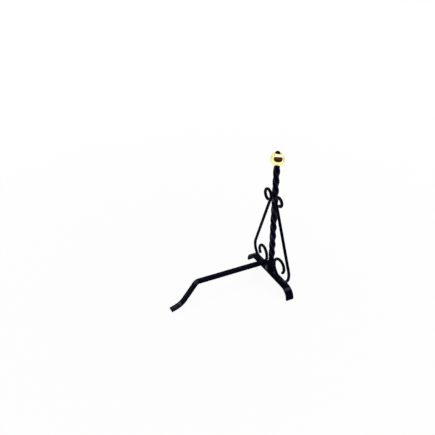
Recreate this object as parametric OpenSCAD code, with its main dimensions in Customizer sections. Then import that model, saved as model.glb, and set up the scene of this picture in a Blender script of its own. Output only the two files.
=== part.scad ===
// Wrought-iron andiron with a twisted post, side scrolls and a ball finial.
// Millimetres. X runs along the foot bar, +Y points back into the hearth, Z is up.

/* [Foot bar] */
// Distance between the outer faces of the two front feet
foot_span = 230; // [180:1:300]
// Width of the flat foot bar
foot_bar_w = 23; // [16:0.5:30]
// Thickness of the foot bar
foot_bar_t = 6.35; // [3:0.05:8]
// Height of the foot bar's top face above the floor
foot_bar_h = 33.5; // [26:0.5:45]
// Outer radius of the bends that turn the ends down
foot_bend_r = 32.5; // [12:0.5:40]
// Width of the hammered feet where they meet the floor
foot_flare_w = 24; // [18:0.5:34]
// Length, from each end, over which the bar widens
foot_flare_l = 34; // [20:1:60]
// Ledge that the foot bar leaves in front of the post
foot_ledge = 0.5; // [0:0.1:5]

/* [Post] */
// Side of the square post bar
post_side = 14.3; // [10:0.1:16]
// Rounding of the bar's long edges
post_edge_r = 1.5; // [0.6:0.1:2]
// Length of the post above the foot bar
post_l = 350.5; // [300:0.5:420]
// Plain square length at the foot of the post
post_plain_l = 32.7; // [31:0.1:90]
// Plain square length at the top of the post
post_neck_l = 8; // [3:0.5:20]
// Quarter turns in the twisted length
twist_quarters = 10.3; // [4:0.1:16]

/* [Log bar] */
// Width of the flat log bar
log_bar_w = 15; // [8:0.1:20]
// Thickness of the log bar
log_bar_t = 9.5; // [5:0.1:11]
// Height of the bar's top face beside the post
log_rest_h = 72.5; // [64:0.1:76]
// Rise of the bar towards the knee, in degrees
log_rise = 1.7; // [0:0.1:4]
// Distance from the post's axis to the rear end of the bar
log_reach = 330.5; // [260:0.5:420]
// Distance from the corner of the knee to the rear end, along the floor
heel_l = 83.5; // [82:0.5:110]
// Slope of the rear leg below level, in degrees
heel_slope = 51.3; // [46:0.1:60]
// Bend radius at the front corner, on the centre line
front_bend_r = 8; // [6:0.5:14]
// Bend radius at the knee, on the centre line
knee_r = 14; // [8:0.5:30]
// Bend radius at the heel, on the centre line
heel_r = 60; // [15:0.5:70]
// Slope of the toe below level, in degrees
toe_slope = 16; // [10:0.5:25]
// Depth of the level flat that is ground under the toe's end
toe_ground = 1.4; // [0.5:0.1:2]

/* [Scrolls] */
// Diameter of the round scroll rods
rod_d = 8.4; // [5:0.1:10]
// Distance of the scrolls' plane behind the post's axis
scroll_y = 5.1; // [0:0.1:6]
// Radius of the wide lower curl, on the rod's centre line
curl_r = 39.1; // [34:0.1:42]
// Distance from the post's axis to the middle of the left curl
left_curl_x = 61.6; // [52:0.5:68]
// Distance from the post's axis to the middle of the right curl
right_curl_x = 49.2; // [48:0.5:68]
// Turn of the left curl inwards from the foot bar before its hook starts, in degrees
left_curl_in = 64; // [5:1:90]
// Turn of the right curl inwards from the foot bar before its hook starts, in degrees
right_curl_in = 9; // [5:1:90]
// Radius of the inner hook, on the rod's centre line
hook_r = 29.2; // [22:0.1:30]
// Turn of the inner hook, in degrees
hook_turn = 132; // [90:1:150]
// Radius of the hook's tip, on the rod's centre line
tip_r = 19.6; // [12:0.1:21]
// Turn of a whole lower end from the foot bar to its tip, in degrees
inward_turn = 320; // [290:1:330]
// Radius of the upper loops, on the rod's centre line
loop_r = 15.4; // [13:0.1:20]
// Turn of a loop before its end part, in degrees
loop_top_turn = 166; // [130:1:180]
// Radius of the left loop's end part
left_end_r = 11.1; // [9:0.1:18]
// Radius of the right loop's end part
right_end_r = 16.1; // [9:0.1:18]
// Most that a loop turns: it ends sooner where it would meet its own stem, in degrees
loop_turn = 310; // [260:1:330]
// Height of the middle of the upper loop
loop_h = 281.2; // [240:0.5:320]

/* [Finial] */
// Diameter of the brass ball
ball_d = 39.6; // [30:0.1:50]
// Diameter of the flats ground on the ball's top and bottom
ball_flat_d = 16; // [12:0.5:20]
// Diameter of the stud through the ball
stud_d = 6.35; // [4:0.05:8]
// Length of stud held in the post
stud_grip = 18; // [10:1:30]
// Diameter of the domed cap nut
cap_d = 14; // [12:0.5:20]
// Height of the cap nut
cap_h = 5; // [4.5:0.1:6.5]

/* [Welds] */
// Leg of the weld beads at the foot of the post
bead = 4; // [2:0.5:5]
// Length of the seams between the post and the log bar's tail
seam_l = 14; // [8:1:18]
// Diameter of the small beads that hold the scroll rods
tack_d = 4.4; // [3:0.1:5]
// Length of those small beads, without their round ends
tack_l = 6; // [2:0.5:8]

/* [Hidden] */
$fn = 48;

// Clearances: the stud in the holes that grip it, and in the ball's bore
thread_gap = 0.05;
bore_gap = 0.2;
// Gap between a loop and the post that it is welded to
touch_gap = 0.1;
// Clearance of the weld metal around the round rods and the twisted post
weld_gap = 0.02;
// Extra depth of the blind holes past the stud
hole_spare = 1;
// Length of stud inside the cap nut, and the spare depth above it
stud_in_cap = 3.2;
cap_spare = 0.3;
// Overshoot of a cutting tool past the face that it cuts
cut = 1;
// Degrees between the stations of a bend, and the sides of a round rod
bend_step = 9;
rod_sides = 12;

// The post stands near the front edge of the foot bar
post_half = post_side / 2;
foot_bar_y = foot_bar_w / 2 - post_half - foot_ledge;
foot_half = foot_span / 2;
post_foot_z = foot_bar_h;
post_top_z = post_foot_z + post_l;
// Largest reach of the twisted bar's rounded edges from its axis
post_reach = (post_half - post_edge_r) * sqrt(2) + post_edge_r;

// The ball sits on its lower flat, the cap nut on its upper one
ball_seat = sqrt(pow(ball_d, 2) - pow(ball_flat_d, 2)) / 2;
ball_z = post_top_z + ball_seat;
cap_z = ball_z + ball_seat;
stud_z = post_top_z - stud_grip;
stud_l = stud_grip + 2 * ball_seat + stud_in_cap;

// The log bar's centre line: tail, front bend, level run, knee, slope, heel
tail_y = post_half + log_bar_t / 2;
front_turn = 90 - log_rise;
front_tan = front_bend_r * tan(front_turn / 2);
run_z0 = log_rest_h - log_bar_t / 2 / cos(log_rise);
knee_y = log_reach - heel_l;
knee_turn = log_rise + heel_slope;
knee_tan = knee_r * tan(knee_turn / 2);
knee_z = run_z0 + (knee_y - tail_y) * tan(log_rise);
heel_turn = heel_slope - toe_slope;
heel_tan = heel_r * tan(heel_turn / 2);
end_y = log_reach - log_bar_t / 2 * sin(toe_slope);
end_z = log_bar_t / 2 * cos(toe_slope) - toe_ground;
heel_drop = knee_z - end_z - (end_y - knee_y) * tan(toe_slope);
heel_y = knee_y + heel_drop / (tan(heel_slope) - tan(toe_slope));
tail_l = run_z0 - foot_bar_h - front_tan;
run_l = (knee_y - tail_y) / cos(log_rise) - front_tan - knee_tan;
slope_l = (heel_y - knee_y) / cos(heel_slope) - knee_tan - heel_tan;
toe_l = (end_y - heel_y) / cos(toe_slope) - heel_tan;
log_moves = [[tail_l], [front_bend_r, -front_turn], [run_l], [knee_r, -knee_turn],
             [slope_l], [heel_r, heel_turn], [toe_l]];

// Middle of a curl that rests on the foot bar, and of a loop that meets the post's edge
curl_z = foot_bar_h + rod_d / 2 + curl_r;
loop_seat = post_reach + touch_gap + rod_d / 2;
loop_x = sqrt(pow(loop_seat, 2) - pow(scroll_y, 2)) + loop_r;
// Direction from the post's axis to the place where a loop meets the post
loop_side = asin(scroll_y / loop_seat);
// Gap that is left between a loop's end and the stem
end_gap = 0.3;

// The frame's origin lies under the middle of the whole part
mid_y = (log_reach - ball_d / 2) / 2;

// Corner points of the post's section, three on each rounded edge
edge_steps = 3;
post_section = [
    for (corner = [0:3], step = [0:edge_steps - 1])
        let (
            mid = 45 + 90 * corner,
            a = mid - 45 + 90 * step / (edge_steps - 1),
            c = (post_half - post_edge_r) * sqrt(2)
        )
        [c * cos(mid) + post_edge_r * cos(a), c * sin(mid) + post_edge_r * sin(a)]
];
// Degrees of twist in one slice
slice_turn = 7.5;

// A bent bar is a list of moves: [length] runs straight, [radius, degrees] bends,
// to the left where the degrees are positive. walk() gives the stations [x, y, heading]
// that the moves pass after the station they start at.
function walk(moves, at, i = 0) =
    i == len(moves) ? [] :
    let (
        move = moves[i],
        side = len(move) > 1 ? sign(move[1]) : 0,
        steps = len(move) > 1 ? ceil(abs(move[1]) / bend_step) : 1,
        passed = [
            for (k = [1:steps])
                let (heading = at[2] + (side == 0 ? 0 : move[1] * k / steps))
                side == 0
                    ? at + [move[0] * cos(heading), move[0] * sin(heading), 0]
                    : [at[0] + side * move[0] * (sin(heading) - sin(at[2])),
                       at[1] - side * move[0] * (cos(heading) - cos(at[2])),
                       heading]
        ]
    )
    concat(passed, walk(moves, passed[steps - 1], i + 1));

// Outline of a flat bar of the given thickness along its stations
function flat_outline(stations, t) = concat(
    [for (s = stations) [s[0] - t / 2 * sin(s[2]), s[1] + t / 2 * cos(s[2])]],
    [for (k = [len(stations) - 1:-1:0])
        let (s = stations[k]) [s[0] + t / 2 * sin(s[2]), s[1] - t / 2 * cos(s[2])]]
);

// A round rod along its stations, in the XY plane
module round_rod(stations, d) {
    last = len(stations) - 1;
    points = [
        for (s = stations, j = [0:rod_sides - 1])
            let (a = 360 * j / rod_sides)
            [s[0] - d / 2 * cos(a) * sin(s[2]), s[1] + d / 2 * cos(a) * cos(s[2]), d / 2 * sin(a)]
    ];
    skin = [
        for (k = [0:last - 1], j = [0:rod_sides - 1])
            let (a = k * rod_sides + j, b = k * rod_sides + (j + 1) % rod_sides)
            each [[a, b, b + rod_sides], [a, b + rod_sides, a + rod_sides]]
    ];
    start_cap = [for (j = [rod_sides - 1:-1:0]) j];
    end_cap = [for (j = [0:rod_sides - 1]) last * rod_sides + j];
    polyhedron(points, concat(skin, [start_cap, end_cap]));
}

// A run of weld metal with round ends, standing along Z
module weld_run(length, d) {
    cylinder(h = length, d = d, center = true);
    for (end = [-1, 1]) translate([0, 0, end * length / 2]) sphere(d = d);
}

// Space that a ring of round rod takes up, with its clearance
module rod_ring(r) {
    rotate([90, 0, 0]) rotate_extrude() translate([r, 0]) circle(d = rod_d + 2 * weld_gap);
}

module foot_profile() {
    inner_r = foot_bend_r - foot_bar_t;
    corner_x = foot_half - foot_bend_r;
    corner_z = foot_bar_h - foot_bend_r;
    difference() {
        union() {
            translate([-corner_x, 0]) square([2 * corner_x, foot_bar_h]);
            for (side = [-1, 1]) {
                translate([side * corner_x, corner_z]) circle(foot_bend_r);
                translate([side > 0 ? 0 : -foot_half, 0]) square([foot_half, corner_z]);
            }
        }
        translate([-corner_x, -cut]) square([2 * corner_x, foot_bar_h - foot_bar_t + cut]);
        for (side = [-1, 1]) {
            translate([side * corner_x, corner_z]) circle(inner_r);
            translate([side > 0 ? 0 : -corner_x - inner_r, -cut])
                square([corner_x + inner_r, corner_z + cut]);
        }
        translate([-foot_span, -foot_span]) square([2 * foot_span, foot_span]);
    }
}

module foot_plan() {
    flare_x = foot_half - foot_flare_l;
    waist = foot_bar_w / 2;
    flare = foot_flare_w / 2;
    polygon([[-foot_half, -flare], [-flare_x, -waist], [flare_x, -waist], [foot_half, -flare],
             [foot_half, flare], [flare_x, waist], [-flare_x, waist], [-foot_half, flare]]);
}

module foot_bar() {
    color([0.09, 0.09, 0.12])
        translate([0, foot_bar_y, 0])
            intersection() {
                rotate([90, 0, 0])
                    linear_extrude(2 * foot_flare_w, center = true) foot_profile();
                linear_extrude(foot_bar_h) foot_plan();
            }
}

module post() {
    twist_l = post_l - post_plain_l - post_neck_l;
    turn = 90 * twist_quarters;
    color([0.09, 0.09, 0.12])
        translate([0, 0, post_foot_z])
            difference() {
                union() {
                    linear_extrude(post_plain_l) polygon(post_section);
                    translate([0, 0, post_plain_l])
                        linear_extrude(twist_l, twist = turn, slices = ceil(turn / slice_turn),
                                       $fn = len(post_section))
                            polygon(post_section);
                    translate([0, 0, post_l - post_neck_l])
                        rotate([0, 0, -turn]) linear_extrude(post_neck_l) polygon(post_section);
                }
                translate([0, 0, post_l - stud_grip - hole_spare])
                    cylinder(h = stud_grip + hole_spare + cut, d = stud_d + 2 * thread_gap);
            }
}

module log_bar() {
    stations = concat([[0, 0, 90]], walk(log_moves, [0, 0, 90]));
    color([0.09, 0.09, 0.12])
        difference() {
            translate([-log_bar_w / 2, tail_y, foot_bar_h])
                rotate([90, 0, 90])
                    linear_extrude(log_bar_w) polygon(flat_outline(stations, log_bar_t));
            // The level flat under the toe's end
            translate([-log_bar_w, knee_y, -log_bar_t])
                cube([2 * log_bar_w, log_reach, log_bar_t]);
        }
}

// Whole turn of a loop whose end part has the radius end_r
function loop_stop(end_r) =
    let (
        side = loop_r * (1 - cos(loop_top_turn)) - rod_d - end_gap,
        meets = 360 - acos(min(1, cos(loop_top_turn) + side / end_r))
    )
    min(loop_turn, meets);

// One scroll, on the +X side. Both walks start where the curl rests on the foot bar, and
// the stem is the crossing tangent of the curl and the loop.
module scroll(curl_x, curl_in, end_r) {
    dx = curl_x - loop_x;
    dz = loop_h - curl_z;
    lean = atan2(dx, dz) + asin((curl_r + loop_r) / norm([dx, dz]));
    stem_l = sqrt(pow(dx, 2) + pow(dz, 2) - pow(curl_r + loop_r, 2));
    tip_turn = inward_turn - hook_turn - curl_in;
    inwards = walk([[curl_r, -curl_in], [hook_r, -hook_turn], [tip_r, -tip_turn]], [0, 0, 180]);
    end_turn = loop_stop(end_r) - loop_top_turn;
    outwards = walk([[curl_r, 90 + lean], [stem_l], [loop_r, -loop_top_turn], [end_r, -end_turn]],
                    [0, 0, 0]);
    stations = concat([for (k = [len(inwards) - 1:-1:0]) inwards[k] + [0, 0, 180]],
                      [[0, 0, 360]], outwards);
    translate([curl_x, scroll_y, foot_bar_h + rod_d / 2])
        rotate([90, 0, 0]) round_rod(stations, rod_d);
}

module scroll_left() {
    color([0.09, 0.09, 0.12]) mirror([1, 0, 0]) scroll(left_curl_x, left_curl_in, left_end_r);
}

module scroll_right() {
    color([0.09, 0.09, 0.12]) scroll(right_curl_x, right_curl_in, right_end_r);
}

module ball_finial() {
    color([0.86, 0.68, 0.28])
        translate([0, 0, ball_z])
            difference() {
                intersection() {
                    sphere(d = ball_d);
                    cylinder(h = 2 * ball_seat, d = 2 * ball_d, center = true);
                }
                cylinder(h = ball_d + 2 * cut, d = stud_d + 2 * bore_gap, center = true);
            }
}

module finial_stud() {
    color([0.55, 0.55, 0.58]) translate([0, 0, stud_z]) cylinder(h = stud_l, d = stud_d);
}

module cap_nut() {
    // A shallow dome: part of a sphere whose rim has the nut's diameter
    dome_r = (pow(cap_d / 2, 2) + pow(cap_h, 2)) / (2 * cap_h);
    color([0.07, 0.07, 0.08])
        translate([0, 0, cap_z])
            difference() {
                translate([0, 0, cap_h - dome_r]) sphere(r = dome_r);
                translate([0, 0, -2 * dome_r]) cylinder(h = 2 * dome_r, r = 2 * dome_r);
                translate([0, 0, -cut])
                    cylinder(h = stud_in_cap + cap_spare + cut, d = stud_d + 2 * thread_gap);
            }
}

// Weld metal on the +X side
module side_beads(curl_x) {
    side_l = foot_bar_w - post_edge_r;
    tack_y = rod_d / 2 + weld_gap;
    // Along the feet of the post and the tail, and up the seam between them
    difference() {
        union() {
            translate([post_half, post_edge_r / 2 + foot_bar_y, foot_bar_h])
                rotate([90, 0, 0]) weld_run(side_l - 2 * bead, 2 * bead);
            translate([post_half, post_half, foot_bar_h + bead + seam_l / 2])
                weld_run(seam_l, bead);
        }
        linear_extrude(foot_bar_h + post_plain_l) polygon(post_section);
        translate([0, post_half, foot_bar_h]) cube([log_bar_w / 2, 2 * log_bar_t, log_rest_h]);
        translate([-post_side, -foot_bar_w, foot_bar_h - 2 * bead])
            cube([4 * post_side, 3 * foot_bar_w, 2 * bead]);
        cube([post_half, post_side, log_rest_h]);
    }
    // In front of and behind the curl, on the foot bar
    difference() {
        for (face = [-1, 1])
            translate([curl_x, scroll_y + face * tack_y, foot_bar_h])
                rotate([0, 90, 0]) weld_run(tack_l, tack_d);
        translate([curl_x, scroll_y, curl_z]) rod_ring(curl_r);
        translate([curl_x - curl_r, -foot_bar_w, foot_bar_h - tack_d])
            cube([2 * curl_r, 3 * foot_bar_w, tack_d]);
    }
    // On both sides of the place where the loop meets the post
    difference() {
        rotate([0, 0, loop_side])
            for (face = [-1, 1])
                translate([post_reach, face * tack_y, loop_h]) weld_run(2 * tack_l, tack_d);
        translate([loop_x, scroll_y, loop_h]) rod_ring(loop_r);
        translate([0, 0, loop_h - loop_r]) cylinder(h = 2 * loop_r, r = post_reach + weld_gap);
    }
}

module weld_beads() {
    color([0.13, 0.14, 0.17]) {
        side_beads(right_curl_x);
        mirror([1, 0, 0]) side_beads(left_curl_x);
    }
}

translate([0, -mid_y, 0]) {
    foot_bar();
    post();
    log_bar();
    scroll_left();
    scroll_right();
    ball_finial();
    finial_stud();
    cap_nut();
    weld_beads();
}
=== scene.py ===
import math

import bmesh
import bpy
from mathutils import Matrix, Vector, noise


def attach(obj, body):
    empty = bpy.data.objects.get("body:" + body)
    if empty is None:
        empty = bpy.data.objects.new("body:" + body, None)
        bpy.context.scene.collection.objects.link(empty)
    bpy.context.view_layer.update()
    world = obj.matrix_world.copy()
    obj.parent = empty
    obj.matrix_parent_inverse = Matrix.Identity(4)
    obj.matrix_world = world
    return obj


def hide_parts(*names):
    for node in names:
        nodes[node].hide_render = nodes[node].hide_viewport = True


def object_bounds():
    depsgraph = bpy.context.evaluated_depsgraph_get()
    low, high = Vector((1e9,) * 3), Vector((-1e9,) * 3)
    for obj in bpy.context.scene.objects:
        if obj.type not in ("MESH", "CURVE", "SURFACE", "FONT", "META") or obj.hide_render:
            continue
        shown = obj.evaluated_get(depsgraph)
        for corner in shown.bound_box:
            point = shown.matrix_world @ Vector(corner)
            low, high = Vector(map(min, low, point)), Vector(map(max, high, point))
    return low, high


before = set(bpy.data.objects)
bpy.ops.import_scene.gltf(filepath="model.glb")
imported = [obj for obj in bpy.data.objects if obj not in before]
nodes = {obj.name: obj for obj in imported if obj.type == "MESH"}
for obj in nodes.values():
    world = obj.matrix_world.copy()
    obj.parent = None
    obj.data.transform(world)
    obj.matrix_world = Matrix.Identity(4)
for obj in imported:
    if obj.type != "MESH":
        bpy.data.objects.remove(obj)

cad_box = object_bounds()

# Sizes in millimetres, the same as in the CAD source
FOOT_SPAN, FOOT_BAR_W, FOOT_BAR_T, FOOT_BAR_H = 230.0, 23.0, 6.35, 33.5
FOOT_BEND_R, FOOT_FLARE_W, FOOT_FLARE_L, FOOT_LEDGE = 32.5, 24.0, 34.0, 0.5
POST_SIDE, POST_EDGE_R, POST_L, POST_PLAIN_L, POST_NECK_L = 14.3, 1.5, 350.5, 32.7, 8.0
TWIST_QUARTERS = 10.3
LOG_BAR_W, LOG_BAR_T, LOG_REST_H, LOG_RISE = 15.0, 9.5, 72.5, 1.7
LOG_REACH, HEEL_L, HEEL_SLOPE, TOE_SLOPE, TOE_GROUND = 330.5, 83.5, 51.3, 16.0, 1.4
FRONT_BEND_R, KNEE_R, HEEL_R = 8.0, 14.0, 60.0
ROD_D, SCROLL_Y, CURL_R = 8.4, 5.1, 39.1
# Middle of the curl, its turn before the hook, and the radius of the loop's end part
CURLS = {"left": (61.6, 64.0, 11.1), "right": (49.2, 9.0, 16.1)}
HOOK_R, HOOK_TURN, TIP_R, INWARD_TURN = 29.2, 132.0, 19.6, 320.0
LOOP_R, LOOP_TOP_TURN, LOOP_TURN, LOOP_H = 15.4, 166.0, 310.0, 281.2
BALL_D, BALL_FLAT_D = 39.6, 16.0
TOUCH_GAP, END_GAP = 0.1, 0.3

POST_HALF = POST_SIDE / 2
FOOT_BAR_Y = FOOT_BAR_W / 2 - POST_HALF - FOOT_LEDGE
BALL_SEAT = math.sqrt(BALL_D ** 2 - BALL_FLAT_D ** 2) / 2
MID_Y = (LOG_REACH - BALL_D / 2) / 2
MM = 0.001

# Finer detail, also in millimetres. Thickness of the paint on the rods and the post
PAINT = 0.2
# Rounding of the flat bars' long edges
FOOT_EDGE_R, LOG_EDGE_R = 1.3, 1.5
# Chamfers at the ends of the bars, and the share of its radius that a rod keeps at its ends
FOOT_CHAMFER, LOG_CHAMFER, POST_CHAMFER, ROD_CHAMFER = 0.5, 0.6, 0.5, 0.7
ROD_END_SHARE = 0.82
# Hammer marks: how deep, how wide, and a seed for where they fall
FOOT_MARKS, LOG_MARKS, POST_MARKS = (0.22, 11.0, 3.0), (0.2, 12.0, 7.0), (0.16, 9.0, 1.0)
ROD_MARKS = {"left": (0.1, 8.0, 4.0), "right": (0.1, 8.0, 6.0)}
# How far one seed moves the marks, and the depth and density of the finer ones among them
SEED_STEP, FINE_DEPTH, FINE_RATE = (1.0, 2.3, -1.0), 0.35, 2.7
# The marks fade out over this many stations at a bar's ends, and over this length on the post
FADE_STATIONS, POST_FADE = 3.0, 6.0
# Steps between stations: degrees along a bend, and lengths along a run and up the post
BEND_STEP, RUN_STEP, POST_STEP = 4.0, 3.0, 1.25
# Faces across each rounded edge of a bar, and around a rod
EDGE_STEPS, ROD_SIDES = 3, 20

# The camera stands where the photograph's fitted camera stood
CAMERA_AT = (-1128.9, 748.85, 1070.3)
CAMERA_HEADING, CAMERA_PITCH, CAMERA_ROLL = 116.75, 32.36, -0.31
FOCAL_PX, IMAGE_PX, SENSOR_MM = 560.0, 435.0, 36.0
CLIP_NEAR, CLIP_FAR = 0.05, 50.0


def deg_sin(a):
    return math.sin(math.radians(a))


def deg_cos(a):
    return math.cos(math.radians(a))


def deg_tan(a):
    return math.tan(math.radians(a))


def sign(value):
    return (value > 0) - (value < 0)


def add_mesh(name, mesh):
    """Turns a bmesh into an object of the scene."""
    data = bpy.data.meshes.new(name)
    mesh.to_mesh(data)
    mesh.free()
    made = bpy.data.objects.new(name, data)
    bpy.context.scene.collection.objects.link(made)
    return made


# ---------------------------------------------------------------- bent bars
def walk(moves, start):
    """Stations (x, y, heading) along straight moves [length] and bends [radius, turn]."""
    stations = [start]
    for move in moves:
        x, y, heading = stations[-1]
        if len(move) == 1:
            steps = max(1, math.ceil(move[0] / RUN_STEP))
            for k in range(1, steps + 1):
                along = move[0] * k / steps
                stations.append((x + along * deg_cos(heading), y + along * deg_sin(heading), heading))
        else:
            radius, turn = move
            side = sign(turn)
            steps = max(1, math.ceil(abs(turn) / BEND_STEP))
            for k in range(1, steps + 1):
                h = heading + turn * k / steps
                stations.append((x + side * radius * (deg_sin(h) - deg_sin(heading)),
                                 y - side * radius * (deg_cos(h) - deg_cos(heading)), h))
    return stations


def rounded_section(thickness, width, edge_r):
    """Points of a rounded rectangle, across the bar and out of its plane."""
    points = []
    for cx, cy, start in ((1, 1, 0), (-1, 1, 90), (-1, -1, 180), (1, -1, 270)):
        for k in range(EDGE_STEPS + 1):
            a = start + 90 * k / EDGE_STEPS
            points.append((cx * (thickness / 2 - edge_r) + edge_r * deg_cos(a),
                           cy * (width / 2 - edge_r) + edge_r * deg_sin(a)))
    return points


def fine_section(thickness, width, edge_r, across, along):
    """The same outline with extra points on its flat sides, for hammer marks."""
    corners = rounded_section(thickness, width, edge_r)
    n = len(corners) // 4
    points = []
    for side in range(4):
        points += corners[side * n:(side + 1) * n]
        a, b = corners[(side + 1) * n - 1], corners[((side + 1) * n) % len(corners)]
        extra = across if side % 2 == 0 else along
        for k in range(1, extra + 1):
            t = k / (extra + 1)
            points.append((a[0] + (b[0] - a[0]) * t, a[1] + (b[1] - a[1]) * t))
    return points


def with_ends(stations, inset):
    """Adds a station just inside each end, where the end's chamfer starts."""
    x0, y0, h0 = stations[0]
    x1, y1, h1 = stations[-1]
    inner0 = (x0 + inset * deg_cos(h0), y0 + inset * deg_sin(h0), h0)
    inner1 = (x1 - inset * deg_cos(h1), y1 - inset * deg_sin(h1), h1)
    return [stations[0], inner0] + stations[1:-1] + [inner1, stations[-1]]


def chamfered(sections, inset):
    """The sections, with the first and the last drawn in by the same amount on every side."""
    def drawn_in(section):
        return [(u - inset * sign(u), w - inset * sign(w)) for u, w in section]

    return [drawn_in(sections[0])] + sections[1:-1] + [drawn_in(sections[-1])]


def hammered(point, normal, depth, size, seed):
    """Moves a surface point by shallow, smooth hammer marks."""
    p = Vector(point) / size + Vector([seed * step for step in SEED_STEP])
    value = noise.noise(p) + FINE_DEPTH * noise.noise(p * FINE_RATE)
    return Vector(point) + Vector(normal) * (value * depth)


def bar_rings(stations, sections, place, marks):
    """One hammered ring per station; place(x, y, w) puts the bar's own plane and width in space."""
    depth, size, seed = marks
    last = len(stations) - 1
    rings = []
    for i, ((x, y, heading), section) in enumerate(zip(stations, sections)):
        across = (-deg_sin(heading), deg_cos(heading))
        strength = depth * min(1.0, i / FADE_STATIONS, (last - i) / FADE_STATIONS)
        ring = []
        for u, w in section:
            flat = (x + across[0] * u, y + across[1] * u)
            point = place(flat[0], flat[1], w)
            out = math.hypot(u, w)
            tip = place(flat[0] + across[0] * u / out, flat[1] + across[1] * u / out, w + w / out)
            normal = (Vector(tip) - Vector(point)).normalized()
            ring.append(hammered(point, normal, strength, size, seed))
        rings.append(ring)
    return rings


def inside_box(point):
    """Keeps a point inside the CAD part's box."""
    low, high = cad_box
    return [min(max(value, a), b) for value, a, b in zip(point, low, high)]


def sweep(name, rings):
    """A closed skin over rings of points (in millimetres, in the CAD's own frame)."""
    mesh = bmesh.new()
    rows = [[mesh.verts.new(inside_box((x * MM, (y - MID_Y) * MM, z * MM))) for x, y, z in ring]
            for ring in rings]
    sides = len(rings[0])
    for a, b in zip(rows, rows[1:]):
        for j in range(sides):
            mesh.faces.new((a[j], a[(j + 1) % sides], b[(j + 1) % sides], b[j]))
    mesh.faces.new(list(reversed(rows[0])))
    mesh.faces.new(rows[-1])
    bmesh.ops.recalc_face_normals(mesh, faces=mesh.faces)
    piece = add_mesh(name, mesh)
    for face in piece.data.polygons:
        face.use_smooth = len(face.vertices) == 4
    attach(piece, "root")
    return piece


# ---------------------------------------------------------------- foot bar
def foot_section(station):
    """The foot bar's section at a station: the bar widens towards its ends."""
    from_end = FOOT_SPAN / 2 - abs(station[0])
    flare = max(0.0, 1 - from_end / FOOT_FLARE_L)
    width = FOOT_BAR_W + (FOOT_FLARE_W - FOOT_BAR_W) * flare
    return fine_section(FOOT_BAR_T, width, FOOT_EDGE_R, across=1, along=6)


def make_foot_bar():
    """The flat bar whose ends turn down to the floor as the two front feet."""
    mid_r = FOOT_BEND_R - FOOT_BAR_T / 2
    leg = FOOT_BAR_H - FOOT_BEND_R
    run = FOOT_SPAN - 2 * FOOT_BEND_R
    start = (-FOOT_SPAN / 2 + FOOT_BAR_T / 2, 0.0, 90.0)
    stations = walk([[leg], [mid_r, -90.0], [run], [mid_r, -90.0], [leg]], start)
    stations = with_ends(stations, FOOT_CHAMFER)
    sections = chamfered([foot_section(station) for station in stations], FOOT_CHAMFER)

    def place(x, z, w):
        return (x, FOOT_BAR_Y + w, z)

    return sweep("foot_bar_forged", bar_rings(stations, sections, place, FOOT_MARKS))


# ---------------------------------------------------------------- log bar
def make_log_bar():
    """The bar that carries the logs: tail, front bend, level run, knee, slope, heel and toe."""
    tail_y = POST_HALF + LOG_BAR_T / 2
    front_turn = 90 - LOG_RISE
    front_tan = FRONT_BEND_R * deg_tan(front_turn / 2)
    run_z0 = LOG_REST_H - LOG_BAR_T / 2 / deg_cos(LOG_RISE)
    knee_y = LOG_REACH - HEEL_L
    knee_turn = LOG_RISE + HEEL_SLOPE
    knee_tan = KNEE_R * deg_tan(knee_turn / 2)
    knee_z = run_z0 + (knee_y - tail_y) * deg_tan(LOG_RISE)
    heel_turn = HEEL_SLOPE - TOE_SLOPE
    heel_tan = HEEL_R * deg_tan(heel_turn / 2)
    end_y = LOG_REACH - LOG_BAR_T / 2 * deg_sin(TOE_SLOPE)
    end_z = LOG_BAR_T / 2 * deg_cos(TOE_SLOPE) - TOE_GROUND
    heel_drop = knee_z - end_z - (end_y - knee_y) * deg_tan(TOE_SLOPE)
    heel_y = knee_y + heel_drop / (deg_tan(HEEL_SLOPE) - deg_tan(TOE_SLOPE))
    moves = [[run_z0 - FOOT_BAR_H - front_tan], [FRONT_BEND_R, -front_turn],
             [(knee_y - tail_y) / deg_cos(LOG_RISE) - front_tan - knee_tan], [KNEE_R, -knee_turn],
             [(heel_y - knee_y) / deg_cos(HEEL_SLOPE) - knee_tan - heel_tan], [HEEL_R, heel_turn],
             [(end_y - heel_y) / deg_cos(TOE_SLOPE) - heel_tan]]
    stations = with_ends(walk(moves, (tail_y, FOOT_BAR_H, 90.0)), LOG_CHAMFER)
    section = fine_section(LOG_BAR_T, LOG_BAR_W, LOG_EDGE_R, across=2, along=4)
    sections = chamfered([section] * len(stations), LOG_CHAMFER)

    def place(y, z, w):
        return (w, y, z)

    return sweep("log_bar_forged", bar_rings(stations, sections, place, LOG_MARKS))


# ---------------------------------------------------------------- post
def make_post():
    """The square post, twisted at a steady rate between its plain foot and its plain neck."""
    twist_l = POST_L - POST_PLAIN_L - POST_NECK_L
    steps = math.ceil((POST_L - 2 * POST_CHAMFER) / POST_STEP)
    heights = [POST_CHAMFER + POST_STEP * k for k in range(steps)]
    heights = [0.0] + heights + [POST_L - POST_CHAMFER, POST_L]
    side = POST_SIDE + 2 * PAINT
    section = fine_section(side, side, POST_EDGE_R, across=3, along=3)
    sections = chamfered([section] * len(heights), POST_CHAMFER)
    depth, size, seed = POST_MARKS
    rings = []
    for h, section in zip(heights, sections):
        twisted = min(max((h - POST_PLAIN_L) / twist_l, 0.0), 1.0)
        a = -90 * TWIST_QUARTERS * twisted
        strength = depth * min(1.0, h / POST_FADE, (POST_L - h) / POST_FADE)
        ring = []
        for u, w in section:
            x, y = u * deg_cos(a) - w * deg_sin(a), u * deg_sin(a) + w * deg_cos(a)
            normal = Vector((x, y, 0)).normalized()
            ring.append(hammered((x, y, FOOT_BAR_H + h), normal, strength, size, seed))
        rings.append(ring)
    return sweep("post_twisted", rings)


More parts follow.
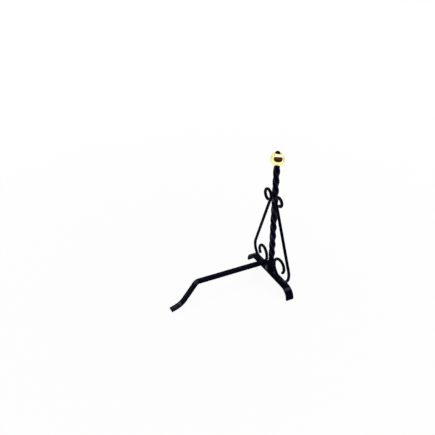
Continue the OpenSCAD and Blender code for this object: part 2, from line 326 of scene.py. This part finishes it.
# ---------------------------------------------------------------- scrolls
def make_scroll(side):
    """A round rod: hook and curl on the foot bar, leaning stem, and loop beside the post."""
    curl_x, curl_in, end_r = CURLS[side]
    mirror = 1 if side == "right" else -1
    post_reach = (POST_HALF - POST_EDGE_R) * math.sqrt(2) + POST_EDGE_R
    loop_seat = post_reach + TOUCH_GAP + ROD_D / 2
    loop_x = math.sqrt(loop_seat ** 2 - SCROLL_Y ** 2) + LOOP_R
    rod_z = FOOT_BAR_H + ROD_D / 2
    dx, dz = curl_x - loop_x, LOOP_H - (rod_z + CURL_R)
    reach = CURL_R + LOOP_R
    lean = math.degrees(math.atan2(dx, dz) + math.asin(reach / math.hypot(dx, dz)))
    stem_l = math.sqrt(dx ** 2 + dz ** 2 - reach ** 2)
    # The loop ends sooner where it would meet its own stem
    clear = LOOP_R * (1 - deg_cos(LOOP_TOP_TURN)) - ROD_D - END_GAP
    meets = 360 - math.degrees(math.acos(min(1.0, deg_cos(LOOP_TOP_TURN) + clear / end_r)))
    end_turn = min(LOOP_TURN, meets) - LOOP_TOP_TURN
    tip_turn = INWARD_TURN - HOOK_TURN - curl_in
    inwards = walk([[CURL_R, -curl_in], [HOOK_R, -HOOK_TURN], [TIP_R, -tip_turn]], (0.0, 0.0, 180.0))
    outwards = walk([[CURL_R, 90 + lean], [stem_l], [LOOP_R, -LOOP_TOP_TURN], [end_r, -end_turn]],
                    (0.0, 0.0, 0.0))
    stations = [(x, y, h + 180) for x, y, h in reversed(inwards)] + outwards[1:]
    stations = with_ends(stations, ROD_CHAMFER)
    rod_r = ROD_D / 2 + PAINT
    turns = [360 * j / ROD_SIDES for j in range(ROD_SIDES)]
    circle = [(rod_r * deg_cos(a), rod_r * deg_sin(a)) for a in turns]
    end = [(u * ROD_END_SHARE, w * ROD_END_SHARE) for u, w in circle]
    sections = [end] + [circle] * (len(stations) - 2) + [end]

    def place(x, z, w):
        return (mirror * (curl_x + x), SCROLL_Y + w, rod_z + z)

    return sweep("scroll_%s_forged" % side, bar_rings(stations, sections, place, ROD_MARKS[side]))


# ---------------------------------------------------------------- shader nodes
def new_material(name):
    material = bpy.data.materials.new(name)
    material.use_nodes = True
    tree = material.node_tree
    return material, tree, tree.nodes["Principled BSDF"]


def link(tree, a, b):
    tree.links.new(a, b)


def object_coords(tree):
    return tree.nodes.new("ShaderNodeTexCoord").outputs["Object"]


def noise_node(tree, coords, scale, detail, roughness=0.5):
    n = tree.nodes.new("ShaderNodeTexNoise")
    n.inputs["Scale"].default_value = scale
    n.inputs["Detail"].default_value = detail
    n.inputs["Roughness"].default_value = roughness
    link(tree, coords, n.inputs["Vector"])
    return n.outputs["Fac"]


def ramp_node(tree, source, stops):
    r = tree.nodes.new("ShaderNodeValToRGB")
    elements = r.color_ramp.elements
    while len(elements) < len(stops):
        elements.new(0.5)
    for element, (at, colour) in zip(elements, stops):
        element.position = at
        element.color = (*colour, 1)
    link(tree, source, r.inputs["Fac"])
    return r.outputs["Color"]


def map_node(tree, source, span, to):
    """Maps the values of a span to another span, and holds them at its ends."""
    m = tree.nodes.new("ShaderNodeMapRange")
    for socket, value in zip(("From Min", "From Max", "To Min", "To Max"), (*span, *to)):
        m.inputs[socket].default_value = value
    link(tree, source, m.inputs["Value"])
    return m.outputs["Result"]


def math_node(tree, operation, first, second):
    m = tree.nodes.new("ShaderNodeMath")
    m.operation = operation
    link(tree, first, m.inputs[0])
    link(tree, second, m.inputs[1])
    return m.outputs["Value"]


def vector_node(tree, operation, vector, by):
    """Changes a linked vector by a constant one."""
    v = tree.nodes.new("ShaderNodeVectorMath")
    v.operation = operation
    link(tree, vector, v.inputs[0])
    v.inputs[1].default_value = by
    return v.outputs["Vector"]


def length_node(tree, vector):
    v = tree.nodes.new("ShaderNodeVectorMath")
    v.operation = "LENGTH"
    link(tree, vector, v.inputs[0])
    return v.outputs["Value"]


def emission_node(tree, strength):
    glow = tree.nodes.new("ShaderNodeEmission")
    glow.inputs["Strength"].default_value = strength
    return glow


def bump_chain(tree, heights, shader):
    """Stacks bumps: (height socket, distance in metres, strength)."""
    previous = None
    for height, distance, strength in heights:
        b = tree.nodes.new("ShaderNodeBump")
        b.inputs["Distance"].default_value = distance
        b.inputs["Strength"].default_value = strength
        link(tree, height, b.inputs["Height"])
        if previous is not None:
            link(tree, previous, b.inputs["Normal"])
        previous = b.outputs["Normal"]
    link(tree, previous, shader.inputs["Normal"])


# ---------------------------------------------------------------- materials
BLUE_BLACK = [(0.3, (0.0006, 0.0006, 0.0042)), (0.55, (0.0014, 0.0017, 0.0078)),
              (0.8, (0.004, 0.006, 0.016))]
BROWN_BLACK = [(0.3, (0.008, 0.0015, 0.001)), (0.55, (0.014, 0.003, 0.002)),
               (0.8, (0.02, 0.006, 0.004))]
BRASS = [(0.3, (0.97, 0.9, 0.44)), (0.55, (1.0, 0.98, 0.5)), (0.8, (1.0, 1.0, 0.55))]
STEEL = [(0.3, (0.3, 0.3, 0.32)), (0.7, (0.5, 0.5, 0.52))]
PALE = [(0.3, (0.93, 0.93, 0.93)), (0.7, (0.96, 0.96, 0.96))]
# Tints of the gloss on the paint and on the brass
PAINT_TINT, BRASS_TINT = (0.6, 0.78, 1.0, 1), (0.9, 0.76, 0.66, 1)
# Specular level of the dull paint, of the rods' and the welds' paint, and the highest level, which the
# painted highlight spots and the post's worn ridges reach
DULL, SATIN, HIGHLIGHT_AND_WEAR_GLOSS = 0.015, 0.03, 0.6

# Spots where the paint is made glossier, to paint highlights at bends, welds and on the post: middle and
# half sizes, in the CAD's frame, and how strongly
HIGHLIGHT_SPOTS = [((-99, 4, 29), (7, 16, 7), 0.8), ((99, 4, 29), (15, 16, 9), 0.45), ((2, 17, 43), (8, 4, 8), 0.5),
        ((-1, 8, 277), (8, 6, 9), 0.8), ((-1, 302, 18), (14, 6, 6), 1.0), ((-1, 317, 12), (14, 17, 12), 0.4),
        ((0, 250, 77), (14, 9, 9), 0.5), ((0, 276, 45), (12, 30, 36), 0.05), ((-19, 3, 33), (6, 6, 4), 0.6),
        ((-56, 10, 33), (5, 5, 4), 0.6), ((-95, 9, 54), (6, 6, 9), 0.3), ((95, 9, 54), (6, 6, 9), 0.3),
        ((0, 8, 240), (8, 8, 20), 0.25), ((0, 8, 150), (8, 8, 25), 0.25)]
# A painted highlight spot is even up to this share of its size, and then fades to its edge
HIGHLIGHT_CORE = 0.3
# Distances from the post's axis between which its ridges rub thin, in mm, and how strongly
RIDGE_SPAN, RIDGE_SHARE = (8.6, 9.7), 0.3


def highlight_spot_mask(tree, coords):
    """Painted highlights: strongest at the middle of each glossier spot, and nothing outside all of them."""
    mask = None
    for (x, y, z), half, share in HIGHLIGHT_SPOTS:
        away = vector_node(tree, "SUBTRACT", coords, (x * MM, (y - MID_Y) * MM, z * MM))
        scaled = vector_node(tree, "DIVIDE", away, tuple(h * MM for h in half))
        spot = map_node(tree, length_node(tree, scaled), span=(HIGHLIGHT_CORE, 1.0), to=(share, 0.0))
        mask = spot if mask is None else math_node(tree, "MAXIMUM", mask, spot)
    return mask


def ridge_mask(tree, coords):
    """Grows towards the ridges of the twisted post, where the paint is worn thin."""
    from_axis = vector_node(tree, "ADD", coords, (0, MID_Y * MM, 0))
    level = vector_node(tree, "MULTIPLY", from_axis, (1, 1, 0))
    span = tuple(r * MM for r in RIDGE_SPAN)
    return map_node(tree, length_node(tree, level), span, to=(0.0, RIDGE_SHARE))


def black_paint(name, stops, gloss=DULL, ripple=False, ridges=False):
    """Satin black paint over forged iron, with shallow hammer marks, fine grain, and painted highlights at
    set spots, where it is made glossier.
    """
    material, tree, shader = new_material(name)
    coords = object_coords(tree)
    broad = noise_node(tree, coords, scale=55.0, detail=2.0)
    grain = noise_node(tree, coords, scale=900.0, detail=4.0, roughness=0.6)
    patches = noise_node(tree, coords, scale=180.0, detail=4.0, roughness=0.6)
    link(tree, ramp_node(tree, patches, stops), shader.inputs["Base Color"])
    roughness = map_node(tree, patches, span=(0.25, 0.75), to=(0.3, 0.5))
    link(tree, roughness, shader.inputs["Roughness"])
    # Painted highlights: the gloss rises at set spots, and on the post also at its worn ridges
    highlights_and_worn_ridges = highlight_spot_mask(tree, coords)
    if ridges:
        highlights_and_worn_ridges = math_node(tree, "MAXIMUM", highlights_and_worn_ridges, ridge_mask(tree, coords))
    level = map_node(tree, highlights_and_worn_ridges, span=(0.0, 1.0), to=(gloss, HIGHLIGHT_AND_WEAR_GLOSS))
    link(tree, level, shader.inputs["Specular IOR Level"])
    shader.inputs["Specular Tint"].default_value = PAINT_TINT
    marks = tree.nodes.new("ShaderNodeTexVoronoi")
    marks.feature = "SMOOTH_F1"
    marks.inputs["Scale"].default_value = 120.0
    marks.inputs["Smoothness"].default_value = 1.0
    link(tree, coords, marks.inputs["Vector"])
    heights = [(broad, 0.0012, 0.4), (marks.outputs["Distance"], 0.0008, 0.35), (grain, 0.00012, 0.5)]
    if ripple:
        heights.append((noise_node(tree, coords, scale=420.0, detail=2.0), 0.0008, 0.8))
    bump_chain(tree, heights, shader)
    return material


def polished_brass(name):
    """Polished brass with faint turning marks around its axis and a trace of tarnish."""
    material, tree, shader = new_material(name)
    coords = object_coords(tree)
    tarnish = noise_node(tree, coords, scale=90.0, detail=5.0, roughness=0.6)
    link(tree, ramp_node(tree, tarnish, BRASS), shader.inputs["Base Color"])
    shader.inputs["Metallic"].default_value = 1.0
    shader.inputs["Specular Tint"].default_value = BRASS_TINT
    roughness = map_node(tree, tarnish, span=(0.3, 0.8), to=(0.05, 0.12))
    link(tree, roughness, shader.inputs["Roughness"])
    stretch = tree.nodes.new("ShaderNodeMapping")
    stretch.inputs["Scale"].default_value = (60.0, 60.0, 2600.0)
    link(tree, coords, stretch.inputs["Vector"])
    lines = noise_node(tree, stretch.outputs["Vector"], scale=1.0, detail=2.0)
    bump_chain(tree, [(lines, 0.00002, 0.25)], shader)
    return material


def turned_steel(name):
    """Bare steel with a fine, uneven surface."""
    material, tree, shader = new_material(name)
    marks = noise_node(tree, object_coords(tree), scale=700.0, detail=3.0)
    link(tree, ramp_node(tree, marks, STEEL), shader.inputs["Base Color"])
    shader.inputs["Metallic"].default_value = 1.0
    roughness = map_node(tree, marks, span=(0.3, 0.7), to=(0.25, 0.4))
    link(tree, roughness, shader.inputs["Roughness"])
    bump_chain(tree, [(marks, 0.00005, 0.3)], shader)
    return material


def dress(obj, material):
    obj.data.materials.clear()
    obj.data.materials.append(material)


paint = black_paint("black_paint", BLUE_BLACK)
rod_paint = black_paint("black_rod_paint", BLUE_BLACK, gloss=SATIN)
post_paint = black_paint("black_post_paint", BLUE_BLACK, ridges=True)
weld_paint = black_paint("black_weld", BLUE_BLACK, gloss=SATIN, ripple=True)
cap_paint = black_paint("browned_cap", BROWN_BLACK)
brass = polished_brass("polished_brass")
steel = turned_steel("turned_steel")

pieces = [(make_foot_bar(), "foot_bar", paint), (make_log_bar(), "log_bar", paint),
          (make_post(), "post", post_paint), (make_scroll("left"), "scroll_left", rod_paint),
          (make_scroll("right"), "scroll_right", rod_paint)]
for piece, node, material in pieces:
    dress(piece, material)
    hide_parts(node)
dress(nodes["ball_finial"], brass)
dress(nodes["finial_stud"], steel)
dress(nodes["cap_nut"], cap_paint)
dress(nodes["weld_beads"], weld_paint)


# ---------------------------------------------------------------- floor and world
# Half the floor's side, in metres
FLOOR_HALF = 20.0
# The camera sees the floor as plain white past the far distance, in metres from the middle of
# the andiron's base. Short of the near distance it sees this share of white, and the shadow
FLOOR_NEAR, FLOOR_FAR, FLOOR_WHITE = 0.35, 1.5, 0.92
# Strength of the world as a light; the camera and reflections see it as white
WORLD_LIGHT = 0.45


def floor_material():
    """A pale floor that reads as white to the camera and keeps part of the shadow."""
    material, tree, shader = new_material("pale_floor")
    coords = object_coords(tree)
    grain = noise_node(tree, coords, scale=30.0, detail=3.0)
    link(tree, ramp_node(tree, grain, PALE), shader.inputs["Base Color"])
    shader.inputs["Roughness"].default_value = 0.9
    shader.inputs["Specular IOR Level"].default_value = 0.0
    path = tree.nodes.new("ShaderNodeLightPath")
    white = map_node(tree, length_node(tree, coords), span=(FLOOR_NEAR, FLOOR_FAR), to=(FLOOR_WHITE, 1.0))
    to_camera = math_node(tree, "MULTIPLY", path.outputs["Is Camera Ray"], white)
    mix = tree.nodes.new("ShaderNodeMixShader")
    link(tree, math_node(tree, "MAXIMUM", to_camera, path.outputs["Is Glossy Ray"]), mix.inputs["Fac"])
    link(tree, shader.outputs["BSDF"], mix.inputs[1])
    link(tree, emission_node(tree, 1.0).outputs["Emission"], mix.inputs[2])
    link(tree, mix.outputs["Shader"], tree.nodes["Material Output"].inputs["Surface"])
    return material


def make_floor():
    mesh = bmesh.new()
    corners = ((-1, -1), (1, -1), (1, 1), (-1, 1))
    mesh.faces.new([mesh.verts.new((x * FLOOR_HALF, y * FLOOR_HALF, 0)) for x, y in corners])
    floor = add_mesh("floor", mesh)
    floor.data.materials.append(floor_material())


def make_world():
    """A weak, even light all around, which the camera and reflections see as white."""
    world = bpy.data.worlds.new("studio")
    bpy.context.scene.world = world
    world.use_nodes = True
    tree = world.node_tree
    background = tree.nodes["Background"]
    background.inputs["Color"].default_value = (1, 1, 1, 1)
    path = tree.nodes.new("ShaderNodeLightPath")
    seen = math_node(tree, "MAXIMUM", path.outputs["Is Camera Ray"], path.outputs["Is Glossy Ray"])
    strength = map_node(tree, seen, span=(0.0, 1.0), to=(WORLD_LIGHT, 1.0))
    link(tree, strength, background.inputs["Strength"])


make_floor()
make_world()


# ---------------------------------------------------------------- lamps
def area_light(name, at, aim, size, watts, turn=0.0):
    """A rectangular softbox; the cards below stand for the lamps in reflections."""
    data = bpy.data.lights.new(name, "AREA")
    data.shape = "RECTANGLE"
    data.size, data.size_y = size
    data.energy = watts
    lamp = bpy.data.objects.new(name, data)
    look = (Vector(aim) - Vector(at)).to_track_quat("-Z", "Y").to_matrix().to_4x4()
    lamp.matrix_world = Matrix.Translation(at) @ look @ Matrix.Rotation(math.radians(turn), 4, "Z")
    lamp.visible_glossy = False
    bpy.context.scene.collection.objects.link(lamp)


# A long softbox overhead, a smaller one on the camera's right, and a broad weak one opposite that
area_light("overhead", at=(-0.25, -0.03, 2.5), aim=(-0.02, -0.15, 0.2), size=(0.9, 2.6), watts=20.0,
           turn=-26.0)
area_light("side", at=(-0.75, -1.6, 1.75), aim=(0, -0.1, 0.2), size=(1.0, 1.0), watts=9.0)
area_light("fill", at=(1.5, 1.6, 1.6), aim=(0, 0, 0.15), size=(1.8, 1.4), watts=8.0)


# ---------------------------------------------------------------- cards that the ball mirrors
# Rings and sides of a card's mesh, and exponents of its outline: 1 is round, less is squarer
CARD_RINGS, CARD_SIDES = 8, 48
SQUARE_ABOVE, SQUARE_BELOW = 0.5, 0.82
# Neutral tones of the cards that stand for lamps and windows
WHITES = [(0.3, (0.95, 0.95, 0.95)), (0.7, (1.0, 1.0, 1.0))]


def seen_in_ball(u, v, reach):
    """The place that shows mirrored at (u, v) of the ball's disc, where 1 is its edge."""
    camera = Vector((CAMERA_AT[0], CAMERA_AT[1] - MID_Y, CAMERA_AT[2])) * MM
    ball = Vector((0, -MID_Y, FOOT_BAR_H + POST_L + BALL_SEAT)) * MM
    ahead = (ball - camera).normalized()
    right = ahead.cross(Vector((0, 0, 1))).normalized()
    up = right.cross(ahead)
    normal = right * u + up * v - ahead * math.sqrt(max(0.0, 1 - u * u - v * v))
    point = ball + normal * (BALL_D / 2 * MM)
    sight = (point - camera).normalized()
    return point + (sight - normal * (2 * sight.dot(normal))) * reach


def card_mesh(middle, half_u, rise, fall, reach):
    """A patch on the ball's disc, squarer above its middle and rounder below, cast out to reach."""
    mesh = bmesh.new()
    hub = mesh.verts.new(seen_in_ball(middle[0], middle[1], reach))
    rows = []
    for i in range(1, CARD_RINGS + 1):
        row = []
        for j in range(CARD_SIDES):
            c, d = deg_cos(360 * j / CARD_SIDES), deg_sin(360 * j / CARD_SIDES)
            power = SQUARE_ABOVE if d > 0 else SQUARE_BELOW
            x = math.copysign(abs(c) ** power, c) * i / CARD_RINGS
            y = math.copysign(abs(d) ** power, d) * i / CARD_RINGS
            u, v = middle[0] + half_u * x, middle[1] + (rise if d > 0 else fall) * y
            row.append(mesh.verts.new(seen_in_ball(u, v, reach)))
        rows.append(row)
    for j in range(CARD_SIDES):
        k = (j + 1) % CARD_SIDES
        mesh.faces.new((hub, rows[0][j], rows[0][k]))
        for low, high in zip(rows, rows[1:]):
            mesh.faces.new((low[j], high[j], high[k], low[k]))
    return mesh


def card_material(name, strength, stops):
    material, tree, shader = new_material(name)
    blotches = noise_node(tree, object_coords(tree), scale=1.6, detail=3.0, roughness=0.6)
    glow = emission_node(tree, strength)
    link(tree, ramp_node(tree, blotches, stops), glow.inputs["Color"])
    link(tree, glow.outputs["Emission"], tree.nodes["Material Output"].inputs["Surface"])
    tree.nodes.remove(shader)
    return material


def mirror_card(name, middle, half_u, rise, fall, stops, strength=1.0, reach=1.3):
    """A card that only reflections show: its place and half sizes on the ball's disc."""
    card = add_mesh(name, card_mesh(middle, half_u, rise, fall, reach))
    card.data.materials.append(card_material(name, strength, stops))
    card.visible_camera = False
    card.visible_diffuse = False
    card.visible_shadow = False
    card.visible_transmission = False


# The dark room behind the camera, with its lit and its darker parts
mirror_card("dark_room", (0.11, 0.0), half_u=0.59, rise=0.27, fall=0.455, reach=0.72,
            stops=[(0.35, (0.02, 0.007, 0.004)), (0.5, (0.075, 0.028, 0.014)), (0.7, (0.13, 0.055, 0.03))])
mirror_card("lit_panel", (-0.12, 0.07), half_u=0.12, rise=0.1, fall=0.14, reach=0.7,
            stops=[(0.3, (0.16, 0.05, 0.03)), (0.7, (0.14, 0.06, 0.04))])
mirror_card("dark_counter", (0.1, -0.26), half_u=0.42, rise=0.08, fall=0.19, reach=0.7,
            stops=[(0.3, (0.02, 0.006, 0.004)), (0.7, (0.05, 0.018, 0.01))])
# The softbox above the room, and a small window beside it
mirror_card("softbox", (0.2, 0.35), half_u=0.47, rise=0.14, fall=0.12, strength=2.6, stops=WHITES)
mirror_card("small_window", (-0.5, 0.3), half_u=0.1, rise=0.09, fall=0.09, strength=1.35, stops=WHITES)
# A dark speck, and the shade around the cap nut
mirror_card("dark_speck", (-0.39, 0.46), half_u=0.07, rise=0.07, fall=0.07, reach=1.25,
            stops=[(0.3, (0.25, 0.2, 0.1)), (0.7, (0.35, 0.25, 0.12))])
mirror_card("shade_at_cap", (0.23, 0.67), half_u=0.27, rise=0.07, fall=0.07, reach=1.0,
            stops=[(0.3, (0.1, 0.06, 0.03)), (0.7, (0.14, 0.08, 0.05))])
# Tan walls at both sides and above
mirror_card("tan_wall_right", (0.86, -0.1), half_u=0.1, rise=0.35, fall=0.25, strength=0.85, reach=0.4,
            stops=[(0.3, (1.0, 0.8, 0.55)), (0.7, (1.0, 0.85, 0.62))])
mirror_card("tan_wall_left", (-0.72, 0.14), half_u=0.09, rise=0.3, fall=0.2, strength=0.85, reach=0.4,
            stops=[(0.3, (0.95, 0.82, 0.6)), (0.7, (1.0, 0.87, 0.68))])
mirror_card("tan_wall_top", (-0.35, 0.72), half_u=0.35, rise=0.1, fall=0.12, strength=0.95, reach=1.0,
            stops=[(0.3, (1.0, 0.82, 0.68)), (0.7, (1.0, 0.86, 0.74))])


# ---------------------------------------------------------------- camera
def make_camera():
    h, p, r = CAMERA_HEADING, CAMERA_PITCH, CAMERA_ROLL
    ahead = Vector((deg_sin(h) * deg_cos(p), deg_cos(h) * deg_cos(p), -deg_sin(p)))
    right = Vector((deg_cos(h), -deg_sin(h), 0))
    up = right.cross(ahead)
    screen_right = right * deg_cos(r) + up * deg_sin(r)
    screen_up = up * deg_cos(r) - right * deg_sin(r)
    data = bpy.data.cameras.new("camera")
    data.sensor_width = SENSOR_MM
    data.lens = FOCAL_PX / IMAGE_PX * SENSOR_MM
    data.clip_start, data.clip_end = CLIP_NEAR, CLIP_FAR
    camera = bpy.data.objects.new("camera", data)
    turn = Matrix((screen_right, screen_up, -ahead)).transposed().to_4x4()
    x, y, z = CAMERA_AT
    camera.matrix_world = Matrix.Translation((x * MM, (y - MID_Y) * MM, z * MM)) @ turn
    bpy.context.scene.collection.objects.link(camera)
    bpy.context.scene.camera = camera


make_camera()
bpy.context.scene.view_settings.view_transform = "Standard"
